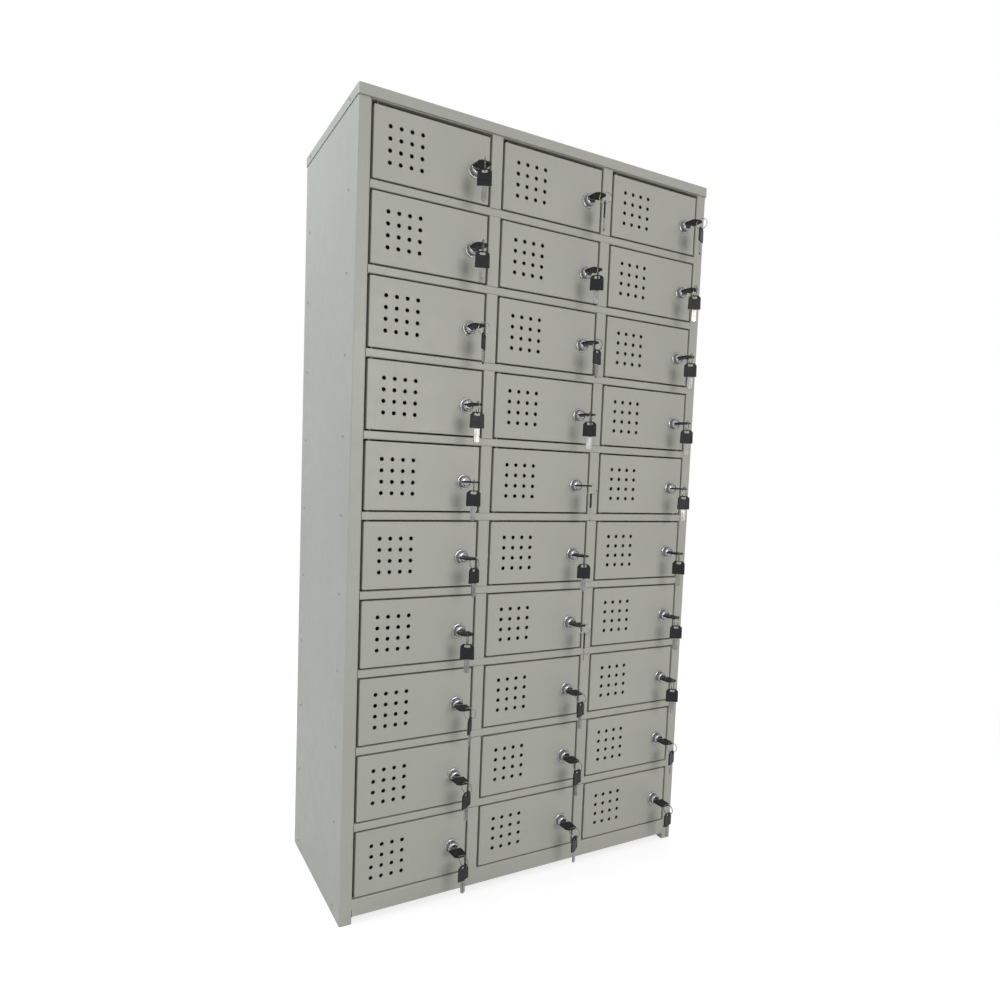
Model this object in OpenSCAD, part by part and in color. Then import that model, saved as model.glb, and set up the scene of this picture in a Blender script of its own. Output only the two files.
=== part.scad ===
// Free-standing steel locker for mobile phones: rows and columns of small flush doors, each with a
// cam lock, a key in it and a spare key on a ring. X runs across the doors, Y from front to back.
// The origin is at floor level, under the middle of the outer size.

/* [Body] */
// Width over the two side panels
body_w = 600; // [540:1:720]
// Height from the floor to the top of the cover
body_h = 1112; // [1000:1:1400]
// Depth from the door faces to the back of the back panel
body_d = 252; // [200:1:400]
// Thickness of the sheet steel
sheet = 0.8; // [0.6:0.1:1.2]
// Number of doors one above the other
rows = 10; // [4:1:10]
// Number of doors side by side
columns = 3; // [2:1:3]
// Width of the post at each side of the front
post_w = 18; // [14:0.5:30]
// Width of the mullion between two doors
mullion_w = 18; // [16:0.5:30]
// Height of the rail between two doors
rail_h = 11; // [8:0.5:20]
// Depth of the lip under each rail
rail_lip = 12; // [9:0.5:12.5]
// Height of the plinth under the lowest doors
plinth_h = 25; // [20:0.5:60]
// Height of the plinth above the floor
foot_h = 9.5; // [3:0.5:30]
// Width of the bent-in feet and of the rear flanges
side_flange = 15; // [10:0.5:30]
// Depth of the flanges that fix a shelf to the side panels
shelf_flange = 12; // [11:0.5:20]
// Width of the stop behind the lock edge of each door
stop_w = 5; // [4.5:0.5:6]
// Width of the flange in the right post that carries the stop strips
stop_seat_w = 8; // [6:0.5:10]

/* [Cover] */
// Height of the cover's rim
lip_h = 15; // [12:0.5:30]
// How far the rim stands in front of the doors
lip_front = 2.5; // [1.5:0.1:6]
// Space between the rim and the panels inside it
lip_gap = 0.2; // [0.1:0.05:0.5]
// Slot between the rim and the top doors
header_gap = 5.6; // [3:0.1:10]

/* [Doors] */
// Gap above and below a door
door_gap = 2.1; // [1.3:0.1:3]
// Gap at each side of a door
side_gap = 3; // [1.5:0.1:3.5]
// Depth of a door's flanges
flange_d = 13; // [10:0.5:16]
// Space between a closed door and its stop
stop_gap = 0.6; // [0.3:0.1:1]
// Diameter of a vent hole
vent_d = 5.6; // [3:0.1:9]
// Distance between vent holes
vent_pitch = 15.2; // [10:0.1:18]
// Vent holes along each side of the square pattern
vent_count = 4; // [2:1:4]
// First vent hole from the door's hinge edge
vent_left = 22.9; // [20:0.1:40]

/* [Hinges] */
// Diameter of a hinge pin
pin_d = 3; // [2:0.1:4]
// Radial clearance of everything that turns
run_gap = 0.05; // [0.03:0.01:0.08]
// Coat of paint or glue between pieces that are clamped or moulded together
film = 0.04; // [0.02:0.01:0.08]
// Hinge axis from the door's edge
pin_in = 5.5; // [5:0.1:9]
// Hinge axis behind the door's face
pin_back = 4; // [3.5:0.1:4.5]
// How far a pin reaches past the flange it carries
pin_over = 2.5; // [1:0.1:5]

/* [Locks] */
// Lock axis from the door's free edge
lock_in = 23; // [20:0.1:30]
// Lock axis below the middle of the door
lock_drop = 4; // [0:0.1:6]
// Diameter of the collar on the door's face
collar_d = 22; // [19:0.1:26]
// Thickness of the collar
collar_t = 1.8; // [1:0.1:3]
// Diameter of the head in front of the door
head_d = 17.5; // [16:0.1:19]
// How far the head stands out
head_out = 9; // [5:0.1:14]
// Diameter of the threaded barrel behind the door
barrel_d = 16; // [14:0.1:18]
// Width across the flats of the barrel's nut
nut_af = 22; // [20:0.1:26]
// Thickness of the nut
nut_t = 3; // [2:0.1:5]
// Diameter of the turning plug
plug_d = 11; // [9:0.1:12]
// How far the plug's face lies inside the head
plug_in = 0.6; // [0.2:0.1:2]
// Side of the plug's square tail
tail_w = 7; // [5:0.1:7.5]
// Length of the cam from the lock's axis
cam_l = 28; // [27:0.1:31]
// Width of the cam
cam_w = 12; // [10:0.1:14]
// Thickness of the cam
cam_t = 1.5; // [1:0.1:2.5]
// Space between the cam and the stop that it hooks behind
cam_gap = 1.2; // [0.5:0.1:2]
// Diameter of the cam screw
screw_d = 4; // [3:0.1:5]
// Diameter of the cam screw's head, which covers the square hole's edges
screw_head_d = 10.5; // [10.2:0.1:11.5]
// Height of the cam screw's head
screw_head_h = 2; // [1:0.1:3]
// Length of the cam screw inside the plug
screw_in = 5; // [4:0.5:5.5]

/* [Keys] */
// Width of a key's plastic bow
bow_w = 22.5; // [18:0.1:25]
// Length of the bow
bow_l = 24.5; // [20:0.1:25]
// Thickness of the bow
bow_t = 2.4; // [2:0.1:3]
// Size of the bevel at the bow's outer corners
bow_bevel = 4.5; // [2:0.1:6]
// Strip between the bow's slot and its outer edge
bow_bridge = 2.6; // [2:0.1:3]
// Width of the slot in the bow
slot_w = 8.5; // [7:0.1:10]
// Width of a key's blade
blade_w = 8; // [6:0.1:8.5]
// Thickness of the blade
blade_t = 2; // [1.5:0.1:2.2]
// Length of the blade outside the bow
blade_l = 19; // [14:0.1:19.5]
// Stretch of blade that shows between the lock and the bow
neck = 1.2; // [1:0.1:3]
// Clearance of the blade in its keyway
key_gap = 0.1; // [0.05:0.01:0.3]
// Outer diameter of the key ring
ring_d = 18; // [17.6:0.1:19]
// Thickness of the ring's wire
ring_wire = 1.4; // [1:0.1:1.6]
// How far the ring's centre hangs below the key in the lock
ring_drop = 5; // [4.5:0.1:5.4]
// Space between the ring and the edges it hangs on
ring_gap = 0.15; // [0.05:0.01:0.3]

/* [Rivets] */
// Diameter of a blind rivet
rivet_d = 3.2; // [2.4:0.1:4.8]
// Diameter of its head
rivet_head_d = 6.2; // [5:0.1:9]
// Height of its head
rivet_head_h = 0.9; // [0.5:0.1:1.5]
// Height of the upset end inside
rivet_tail_h = 1.2; // [0.8:0.1:2]
// Front row of rivets from the door faces
rivet_front = 33; // [25:1:80]
// Rear row of rivets from the back
rivet_back = 25.5; // [22:0.5:60]
// Rivets below the top of each shelf
rivet_drop = 7; // [4.5:0.1:7.5]
// Cover's rivets below its top
cover_rivet = 7; // [5:0.1:9]
// Base tray's rivets above its lower edge
base_rivet = 4.5; // [4:0.1:15]
// Rivets down each edge of the back panel
back_rivets = 6; // [2:1:10]

/* [Hidden] */
// Columns whose locks are separate turning nodes; the others keep lock and keys on the door
turning_columns = min(2, columns);
$fn = 48;
// Cuts run this far past a surface
over = 1;

// Front layout
half_w = body_w / 2;
opening_w = (body_w - 2 * post_w - (columns - 1) * mullion_w) / columns;
column_pitch = opening_w + mullion_w;
door_w = opening_w - 2 * side_gap;
cover_under = body_h - sheet;
header_top = body_h - lip_h;
header_under = header_top - sheet;
floor_top = foot_h + plinth_h;
doors_h = header_top - header_gap - door_gap - floor_top;
door_h = (doors_h - (rows - 1) * (rail_h + 2 * door_gap)) / rows;
row_pitch = door_h + rail_h + 2 * door_gap;

// Depths behind the door faces
return_d = flange_d + stop_gap + sheet;
cam_y = return_d + cam_gap;
tray_back = body_d - 2 * sheet;

// Ring that hangs in the slot of the key in the lock
ring_in = ring_d / 2 - ring_wire;
ring_mid = (ring_d - ring_wire) / 2;
seat_back = sqrt(pow(ring_in - ring_gap, 2) - pow(bow_t / 2 + ring_drop, 2));
slot_l = sqrt(pow(ring_d / 2, 2) - pow(ring_drop - bow_t / 2, 2)) - seat_back + ring_gap;
ring_centre = head_out + neck + bow_l - bow_bridge + seat_back;
ring_run = sqrt(pow(ring_mid, 2) - pow(ring_drop, 2));
ring_axis = ring_centre - ring_run;
spare_top = -ring_drop - ring_in + ring_gap + bow_bridge;

// Turn of each ring and spare key about the upright, row by row from the top
spare_turn = [
    [-30, 52, 30],
    [-20, -35, -25],
    [50, 20, -30],
    [-15, -40, -30],
    [-25, 50, -20],
    [20, -30, -40],
    [-35, 52, -25],
    [50, 25, -30],
    [30, 20, 25],
    [20, 30, 15],
];
least_turn = min([for (r = [0:rows - 1]) for (c = [0:columns - 1]) abs(spare_turn[r][c])]);
ring_out = ring_axis + (ring_run + ring_mid) * cos(least_turn) + ring_wire / 2;
cover_back = body_d + lip_gap + sheet;

// The door faces' place, which centres the outer size on the origin
face_y = (ring_out - cover_back) / 2;

function rail_top(r) = header_top - header_gap - door_h - door_gap - r * row_pitch;
function rail_under(r) = rail_top(r) - rail_h;
function door_base(r) = rail_top(r) + door_gap;
function opening_top(r) = r == 0 ? header_under : rail_under(r - 1);
function ceiling(r) = r == 0 ? header_under : rail_top(r - 1) - sheet;
function door_left(c) = -half_w + post_w + c * column_pitch + side_gap;
function door_name(r, c) = str("door_r", r + 1, "_c", c + 1);
function lock_name(r, c) = str("lock_and_keys_r", r + 1, "_c", c + 1);

FRAME = [
    "left_side_panel", "right_side_panel", "top_cover", "top_tray", "back_panel",
    "base_tray", "shelves", "partitions", "hinge_pins", "rivets",
];

// Box between two opposite corners
module slab(low, high) {
    translate(low) cube(high - low);
}

module both_sides() {
    children();
    mirror([1, 0, 0]) children();
}

module powder_coat() {
    color([0.66, 0.66, 0.63]) translate([0, face_y, 0]) children();
}

// Blind rivet with its head on z = 0, set towards +Z through a stack of the given thickness
module rivet(grip) {
    mandrel_d = rivet_d / 2;
    difference() {
        union() {
            translate([0, 0, -rivet_head_h])
                cylinder(d1 = rivet_head_d - 2 * rivet_head_h, d2 = rivet_head_d, h = rivet_head_h);
            cylinder(d = rivet_d, h = grip);
            translate([0, 0, grip]) cylinder(d = rivet_d + rivet_head_h, h = rivet_tail_h);
        }
        translate([0, 0, -rivet_head_h - over]) cylinder(d = mandrel_d, h = rivet_head_h + over + grip);
    }
}

// Heights of the rivets that hold the shelves, and the depths of both rows
shelf_rivets = [for (r = [0:rows - 2]) rail_top(r) - rivet_drop];
side_rivets = concat(shelf_rivets, [foot_h + base_rivet]);
rivet_depths = [rivet_front, body_d - rivet_back];
back_low = foot_h + side_flange;
back_high = header_under - side_flange;
back_heights = [for (k = [0:back_rivets - 1]) back_low + k * (back_high - back_low) / (back_rivets - 1)];

module side_rivet_places(heights, x) {
    for (y = rivet_depths) for (z = heights) translate([-x, y, z]) rotate([0, 90, 0]) children();
}

module back_rivet_places() {
    for (z = back_heights)
        translate([-half_w + side_flange / 2, body_d, z]) rotate([90, 0, 0]) children();
}

module rivet_hole() {
    translate([0, 0, -over]) cylinder(d = rivet_d + 2 * run_gap, h = 2 * over + 3 * sheet);
}

// Left side panel: plate bent into a post with a return of the given depth, then the rear flange and the
// foot as strips along the plate
module side_shell(post_d) {
    strip_x = -half_w + sheet + film;
    difference() {
        union() {
            slab([-half_w, 0, 0], [-half_w + sheet, body_d, cover_under]);
            slab([-half_w, 0, 0], [-half_w + post_w, sheet, cover_under]);
            slab([-half_w + post_w - sheet, 0, 0], [-half_w + post_w, post_d, cover_under]);
        }
        side_rivet_places(concat(side_rivets, [body_h - cover_rivet]), half_w) rivet_hole();
    }
    difference() {
        slab([strip_x, tray_back, 0], [-half_w + side_flange, tray_back + sheet, cover_under]);
        back_rivet_places() rivet_hole();
    }
    slab([strip_x, sheet + film, 0], [-half_w + side_flange, tray_back - film, sheet]);
}

module left_side_panel() {
    powder_coat() side_shell(return_d);
}

// The right post has a flange at its back, with a stop strip welded to it behind each door
module right_side_panel() {
    inner_x = half_w - post_w;
    seat_x = inner_x + stop_seat_w;
    seat_y = return_d - sheet;
    powder_coat() {
        union() {
            mirror([1, 0, 0]) side_shell(seat_y);
            slab([inner_x, seat_y - sheet, sheet + film], [seat_x, seat_y, cover_under]);
        }
        for (r = [0:rows - 1])
            slab([inner_x - stop_w, seat_y + film, rail_top(r)], [seat_x, return_d, opening_top(r)]);
    }
}

module top_cover() {
    rim_x = half_w + lip_gap + sheet;
    rim_z = body_h - lip_h;
    powder_coat() difference() {
        slab([-rim_x, -lip_front, rim_z], [rim_x, cover_back, body_h]);
        slab([-rim_x + sheet, -lip_front + sheet, rim_z + sheet], [rim_x - sheet, cover_back - sheet, cover_under]);
        slab([-rim_x + sheet, -lip_gap, rim_z - over], [rim_x - sheet, cover_back - sheet, cover_under]);
        both_sides() side_rivet_places([body_h - cover_rivet], rim_x) rivet_hole();
    }
}

// Plate of a tray, with its front corners cut out round the posts
module tray_plate(z_top) {
    in_x = half_w - sheet;
    difference() {
        slab([-in_x, 0, z_top - sheet], [in_x, tray_back, z_top]);
        both_sides()
            slab([-half_w, -over, z_top - sheet - over], [-half_w + post_w, return_d, z_top + over]);
    }
}

// Sides of a tray, along the side panels
module tray_sides(low, high) {
    both_sides() slab([-half_w + sheet, return_d, low], [-half_w + 2 * sheet, tray_back, high]);
}

// Front of a tray between the posts
module tray_front(low, high) {
    rail_x = half_w - post_w;
    slab([-rail_x, 0, low], [rail_x, sheet, high]);
}

module top_tray() {
    powder_coat() difference() {
        union() {
            tray_plate(header_top);
            tray_sides(header_under, cover_under - sheet);
            tray_front(header_under, cover_under - sheet);
        }
        both_sides() side_rivet_places([body_h - cover_rivet], half_w) rivet_hole();
    }
}

module back_panel() {
    powder_coat() difference() {
        slab([-half_w + sheet, body_d - sheet, foot_h], [half_w - sheet, body_d, cover_under]);
        both_sides() back_rivet_places() rivet_hole();
    }
}

module base_tray() {
    rail_x = half_w - post_w;
    powder_coat() difference() {
        union() {
            tray_plate(floor_top);
            tray_sides(foot_h, floor_top);
            tray_front(foot_h, floor_top);
            slab([-rail_x, 0, foot_h], [rail_x, side_flange, foot_h + sheet]);
            slab([-rail_x, tray_back - sheet, foot_h], [rail_x, tray_back, floor_top]);
        }
        both_sides() side_rivet_places(side_rivets, half_w) rivet_hole();
    }
}

// Shelf bent into the rail at its front, with a riveted strip under each side edge
module shelf(r) {
    rail_x = half_w - post_w;
    union() {
        tray_plate(rail_top(r));
        tray_front(rail_under(r), rail_top(r));
        slab([-rail_x, 0, rail_under(r)], [rail_x, rail_lip, rail_under(r) + sheet]);
    }
    difference() {
        tray_sides(rail_top(r) - shelf_flange, rail_top(r) - sheet - film);
        both_sides() side_rivet_places([rail_top(r) - rivet_drop], half_w) rivet_hole();
    }
}

module shelves() {
    powder_coat() for (r = [0:rows - 2]) shelf(r);
}

// Upright wall between two compartments, folded at the front into the mullion and the door's stop
module partition(r) {
    half_m = mullion_w / 2;
    low = rail_top(r);
    high = opening_top(r);
    slab([-half_m, 0, low], [half_m, sheet, high]);
    slab([-half_m, 0, low], [-half_m + sheet, return_d, high]);
    slab([half_m - sheet, 0, low], [half_m, return_d, high]);
    slab([-half_m - stop_w, return_d - sheet, low], [-half_m + sheet, return_d, high]);
    slab([-sheet / 2, return_d - sheet, low], [half_m, return_d, high]);
    slab([-sheet / 2, return_d - sheet, low], [sheet / 2, tray_back, ceiling(r)]);
}

module partitions() {
    powder_coat()
        for (r = [0:rows - 1])
            for (c = [1:columns - 1])
                translate([door_left(c) - side_gap - mullion_w / 2, 0, 0]) partition(r);
}

// Two pins for each door, one standing on the tray below and one hanging from the rail above
module hinge_pins() {
    color([0.7, 0.71, 0.72]) translate([0, face_y, 0])
        for (r = [0:rows - 1])
            for (c = [0:columns - 1])
                translate([door_left(c) + pin_in, pin_back, 0]) {
                    grip = sheet + pin_over;
                    head_z = door_base(r) + door_h - grip;
                    translate([0, 0, rail_top(r)]) cylinder(d = pin_d, h = door_gap + grip);
                    translate([0, 0, head_z]) cylinder(d = pin_d, h = opening_top(r) - head_z);
                }
}

module rivets() {
    rim_x = half_w + lip_gap + sheet;
    color([0.6, 0.6, 0.58]) translate([0, face_y, 0]) both_sides() {
        side_rivet_places(side_rivets, half_w) rivet(2 * sheet);
        side_rivet_places([body_h - cover_rivet], rim_x) rivet(3 * sheet + lip_gap);
        back_rivet_places() rivet(2 * sheet);
    }
}

// Door tray with its left lower front corner at the origin
module door_panel() {
    lock_x = door_w - lock_in;
    lock_z = door_h / 2 - lock_drop;
    vent_z = (door_h - (vent_count - 1) * vent_pitch) / 2;
    difference() {
        slab([0, 0, 0], [door_w, flange_d, door_h]);
        slab([sheet, sheet, sheet], [door_w - sheet, flange_d + over, door_h - sheet]);
        for (i = [0:vent_count - 1])
            for (k = [0:vent_count - 1])
                translate([vent_left + i * vent_pitch, -over, vent_z + k * vent_pitch])
                    rotate([-90, 0, 0]) cylinder(d = vent_d, h = sheet + 2 * over, $fn = 24);
        translate([lock_x, -over, lock_z]) rotate([-90, 0, 0])
            cylinder(d = barrel_d + 2 * run_gap, h = sheet + 2 * over);
        translate([pin_in, pin_back, -over]) cylinder(d = pin_d + 2 * run_gap, h = door_h + 2 * over);
    }
}

// Lock body on its axis, with +Z out of the door's face
module lock_barrel() {
    difference() {
        union() {
            translate([0, 0, -cam_y + key_gap]) cylinder(d = barrel_d, h = cam_y);
            translate([0, 0, film]) cylinder(d = collar_d, h = collar_t - film);
            translate([0, 0, film]) cylinder(d = head_d, h = head_out - film);
        }
        translate([0, 0, -cam_y - over]) cylinder(d = plug_d + 2 * run_gap, h = cam_y + head_out + 2 * over);
    }
}

module lock_nut() {
    translate([0, 0, -sheet - film - nut_t]) difference() {
        cylinder(d = nut_af / cos(30), h = nut_t, $fn = 6);
        translate([0, 0, -over]) cylinder(d = barrel_d + 2 * run_gap, h = nut_t + 2 * over);
    }
}

// Flat key in the XY plane: bow from y = 0 upwards, blade below it
module key_bow() {
    corner_x = bow_w / 2 - bow_bevel;
    slot_y = bow_l - bow_bridge - slot_l / 2;
    color([0.09, 0.09, 0.1]) translate([0, 0, -bow_t / 2]) linear_extrude(bow_t) difference() {
        polygon([
            [-bow_w / 2, 0], [bow_w / 2, 0], [bow_w / 2, bow_l - bow_bevel], [corner_x, bow_l],
            [-corner_x, bow_l], [-bow_w / 2, bow_l - bow_bevel],
        ]);
        translate([0, slot_y]) square([slot_w - slot_l, slot_l], center = true);
        for (s = [-1, 1]) translate([s * (slot_w - slot_l) / 2, slot_y]) circle(d = slot_l);
    }
}

module key_blade() {
    tip = blade_w / 3;
    cut = blade_w / 6;
    cuts = 4;
    color([0.75, 0.75, 0.77]) translate([0, 0, -blade_t / 2]) linear_extrude(blade_t) difference() {
        polygon([
            [-blade_w / 2, -film], [blade_w / 2, -film], [blade_w / 2, tip - blade_l], [0, -blade_l],
            [-blade_w / 2, tip - blade_l],
        ]);
        for (k = [1:cuts])
            translate([blade_w / 2, -neck - k * (blade_l - neck - tip) / (cuts + 1)])
                rotate(45) square(cut, center = true);
    }
}

module key() {
    key_bow();
    key_blade();
}

// Turning part of the lock: plug, cam and screw
module plug() {
    plug_l = cam_y + head_out - plug_in;
    color([0.78, 0.78, 0.8]) difference() {
        union() {
            translate([0, 0, film - cam_y]) cylinder(d = plug_d, h = plug_l - film);
            translate([-tail_w / 2, -tail_w / 2, film - cam_y - cam_t]) cube([tail_w, tail_w, cam_t]);
        }
        translate([0, 0, head_out + neck - blade_l - key_gap]) linear_extrude(blade_l)
            square([blade_w + 2 * key_gap, blade_t + 2 * key_gap], center = true);
        translate([0, 0, -cam_y - cam_t - over])
            cylinder(d = screw_d + 2 * film, h = cam_t + over + screw_in + film);
    }
}

module cam() {
    hole_w = tail_w + 2 * key_gap;
    color([0.7, 0.7, 0.68]) translate([0, 0, -cam_y - cam_t]) difference() {
        union() {
            cylinder(d = cam_w, h = cam_t);
            translate([-cam_w / 2, 0, 0]) cube([cam_w, cam_l - cam_w / 2, cam_t]);
            translate([0, cam_l - cam_w / 2, 0]) cylinder(d = cam_w, h = cam_t);
        }
        translate([-hole_w / 2, -hole_w / 2, -over]) cube([hole_w, hole_w, cam_t + 2 * over]);
    }
}

module cam_screw() {
    slot_t = screw_head_h / 2;
    color([0.75, 0.75, 0.77]) translate([0, 0, -cam_y - cam_t]) difference() {
        union() {
            translate([0, 0, -film - screw_head_h]) cylinder(d = screw_head_d, h = screw_head_h);
            translate([0, 0, -2 * film]) cylinder(d = screw_d, h = cam_t + screw_in);
        }
        translate([0, 0, -film - screw_head_h]) cube([screw_head_d * 2, slot_t, 2 * slot_t], center = true);
    }
}

// Ring and spare key that hang from the key in the lock, in upright axes at the lock
module ring_and_spare(turn) {
    translate([0, -ring_axis, 0]) rotate([0, 0, turn]) translate([0, -ring_run, 0]) {
        color([0.8, 0.8, 0.82]) translate([0, 0, -ring_drop]) rotate([0, 90, 0])
            rotate_extrude() translate([ring_mid, 0]) circle(d = ring_wire, $fn = 16);
        translate([0, 0, spare_top - bow_l]) rotate([90, 0, 0]) key();
    }
}

// Everything that turns with the key, in upright axes at the lock
module turning_lock(r, c) {
    rotate([90, 0, 0]) {
        plug();
        cam();
        cam_screw();
    }
    translate([0, -head_out - neck, 0]) rotate([0, 0, 180]) key();
    ring_and_spare(spare_turn[r][c]);
}

module at_lock(r, c) {
    translate([door_left(c) + door_w - lock_in, face_y, door_base(r) + door_h / 2 - lock_drop]) children();
}

module door(r, c) {
    translate([door_left(c), 0, door_base(r)]) powder_coat() door_panel();
    color([0.78, 0.78, 0.8]) at_lock(r, c) rotate([90, 0, 0]) {
        lock_barrel();
        lock_nut();
    }
    if (c >= turning_columns) at_lock(r, c) turning_lock(r, c);
}

module lock_and_keys(r, c) {
    at_lock(r, c) turning_lock(r, c);
}

left_side_panel();
right_side_panel();
top_cover();
top_tray();
back_panel();
base_tray();
shelves();
partitions();
hinge_pins();
rivets();
for (r = [0:rows - 1]) for (c = [0:columns - 1])
    door(r, c);
for (r = [0:rows - 1]) for (c = [0:turning_columns - 1])
    lock_and_keys(r, c);
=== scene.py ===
from math import cos, hypot, pi, radians, sin, sqrt, tan

import bmesh
import bpy
from mathutils import Matrix, Vector
from mathutils.geometry import delaunay_2d_cdt


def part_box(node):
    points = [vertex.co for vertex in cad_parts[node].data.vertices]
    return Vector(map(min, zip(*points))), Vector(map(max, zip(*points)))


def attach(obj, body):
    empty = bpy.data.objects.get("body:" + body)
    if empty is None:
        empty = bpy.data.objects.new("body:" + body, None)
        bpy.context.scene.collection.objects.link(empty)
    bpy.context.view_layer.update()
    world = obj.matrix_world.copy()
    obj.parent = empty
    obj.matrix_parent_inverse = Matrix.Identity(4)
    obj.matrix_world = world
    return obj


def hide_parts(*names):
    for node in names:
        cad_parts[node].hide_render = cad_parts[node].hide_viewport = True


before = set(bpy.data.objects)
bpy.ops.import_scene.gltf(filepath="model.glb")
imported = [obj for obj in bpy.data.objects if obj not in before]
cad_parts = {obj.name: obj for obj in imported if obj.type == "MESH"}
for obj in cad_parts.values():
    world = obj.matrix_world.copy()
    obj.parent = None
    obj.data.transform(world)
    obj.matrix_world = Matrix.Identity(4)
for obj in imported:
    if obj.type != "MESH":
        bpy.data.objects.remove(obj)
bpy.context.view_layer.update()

MM = 0.001
ROWS, COLUMNS, TURNING_COLUMNS = 10, 3, 2

# Sizes read from the frame
panel_low, panel_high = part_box("left_side_panel")
door_low, door_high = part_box("door_r1_c1")
HALF_W = -panel_low.x / MM
FACE_Y = panel_low.y / MM
BODY_D = (panel_high.y - panel_low.y) / MM
BODY_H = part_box("top_cover")[1].z / MM
DOOR_W = (door_high.x - door_low.x) / MM
DOOR_H = (door_high.z - door_low.z) / MM
DOOR_X = door_low.x / MM
DOOR_Z = door_low.z / MM
PITCH_X = (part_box("door_r1_c2")[0].x - door_low.x) / MM
PITCH_Z = (door_low.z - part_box("door_r2_c1")[0].z) / MM

# Cabinet sizes
SHEET = 0.8
POST_W = 18
MULLION_W = 18
RAIL_H = 11
RAIL_LIP = 12
PLINTH_H = 25
FOOT_H = 9.5
SIDE_FLANGE = 15
SHELF_FLANGE = 12
STOP_W = 5
STOP_SEAT_W = 8
LIP_H = 15
LIP_FRONT = 2.5
LIP_GAP = 0.2
DOOR_GAP = 2.1
SIDE_GAP = 3
POST_BEND = 1.8
RAIL_BEND = 1.3
INNER_BEND = 1.2
COVER_BEND = 2.2
COVER_CORNER = 3.2

# Door sizes
FLANGE_D = 13
STOP_GAP = 0.6
DOOR_BEND = 1.2
VENT_D = 5.6
VENT_PITCH = 15.2
VENT_COUNT = 4
VENT_LEFT = 22.9
VENT_ROUND = 0.3

# Hinge pins
PIN_D = 3
PIN_IN = 5.5
PIN_BACK = 4
PIN_OVER = 2.5

# Gaps between pieces that turn in each other, and between clamped pieces
RUN_GAP = 0.05
FILM = 0.04

# Lock sizes
LOCK_IN = 23
LOCK_DROP = 4
COLLAR_D = 22
COLLAR_T = 1.8
HEAD_D = 17.5
HEAD_OUT = 9
BARREL_D = 16
NUT_AF = 22
NUT_T = 3
PLUG_D = 11
PLUG_IN = 0.6
TAIL_W = 7
CAM_L = 28
CAM_W = 12
CAM_T = 1.5
CAM_GAP = 1.2
SCREW_HEAD_D = 10.5
SCREW_HEAD_H = 2
THREAD_PITCH = 1.25
THREAD_DEEP = 0.55

# Key sizes
BOW_W = 22.5
BOW_L = 24.5
BOW_T = 2.4
BOW_BEVEL = 4.5
BOW_BRIDGE = 2.6
SLOT_W = 8.5
BLADE_W = 8
BLADE_T = 2
BLADE_L = 19
NECK = 1.2
KEY_GAP = 0.1
RING_D = 18
RING_WIRE = 1.4
RING_DROP = 5
RING_GAP = 0.15

# Rivets
RIVET_D = 3.2
RIVET_HEAD_D = 6.2
RIVET_HEAD_H = 0.9
RIVET_TAIL_H = 1.2
RIVET_FRONT = 33
RIVET_BACK = 25.5
RIVET_DROP = 7
COVER_RIVET = 7
BASE_RIVET = 4.5
BACK_RIVETS = 6

# Turn of each ring and spare key about the upright, in degrees, row by row from the top
SPARE_TURN = [
    [-30, 52, 30],
    [-20, -35, -25],
    [50, 20, -30],
    [-15, -40, -30],
    [-25, 50, -20],
    [20, -30, -40],
    [-35, 52, -25],
    [50, 25, -30],
    [30, 20, 25],
    [20, 30, 15],
]

# Places worked out from the sizes
COVER_UNDER = BODY_H - SHEET
HEADER_TOP = BODY_H - LIP_H
HEADER_UNDER = HEADER_TOP - SHEET
FLOOR_TOP = FOOT_H + PLINTH_H
RAIL_X = HALF_W - POST_W
RETURN_D = FLANGE_D + STOP_GAP + SHEET
SEAT_Y = RETURN_D - SHEET
CAM_Y = RETURN_D + CAM_GAP
TRAY_BACK = BODY_D - 2 * SHEET
HALF_SHEET = SHEET / 2

# Where the ring hangs in the slot of the key in the lock
RING_IN = RING_D / 2 - RING_WIRE
RING_MID = (RING_D - RING_WIRE) / 2
SEAT_BACK = sqrt((RING_IN - RING_GAP) ** 2 - (BOW_T / 2 + RING_DROP) ** 2)
SLOT_L = sqrt((RING_D / 2) ** 2 - (RING_DROP - BOW_T / 2) ** 2) - SEAT_BACK + RING_GAP
RING_CENTRE = HEAD_OUT + NECK + BOW_L - BOW_BRIDGE + SEAT_BACK
RING_RUN = sqrt(RING_MID**2 - RING_DROP**2)
RING_AXIS = RING_CENTRE - RING_RUN
SPARE_TOP = -RING_DROP - RING_IN + RING_GAP + BOW_BRIDGE


def door_left(column):
    return DOOR_X + column * PITCH_X


def door_base(row):
    return DOOR_Z - row * PITCH_Z


def rail_top(row):
    return door_base(row) - DOOR_GAP


def opening_top(row):
    return HEADER_UNDER if row == 0 else rail_top(row - 1) - RAIL_H


def ceiling(row):
    return HEADER_UNDER if row == 0 else rail_top(row - 1) - SHEET


# Mesh building

PLANES = {
    "xy": lambda u, v, w: (u, v, w),
    "yz": lambda u, v, w: (w, u, v),
    "xz": lambda u, v, w: (u, w, v),
}
MERGE = 0.002
SHARP = radians(32)


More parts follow.
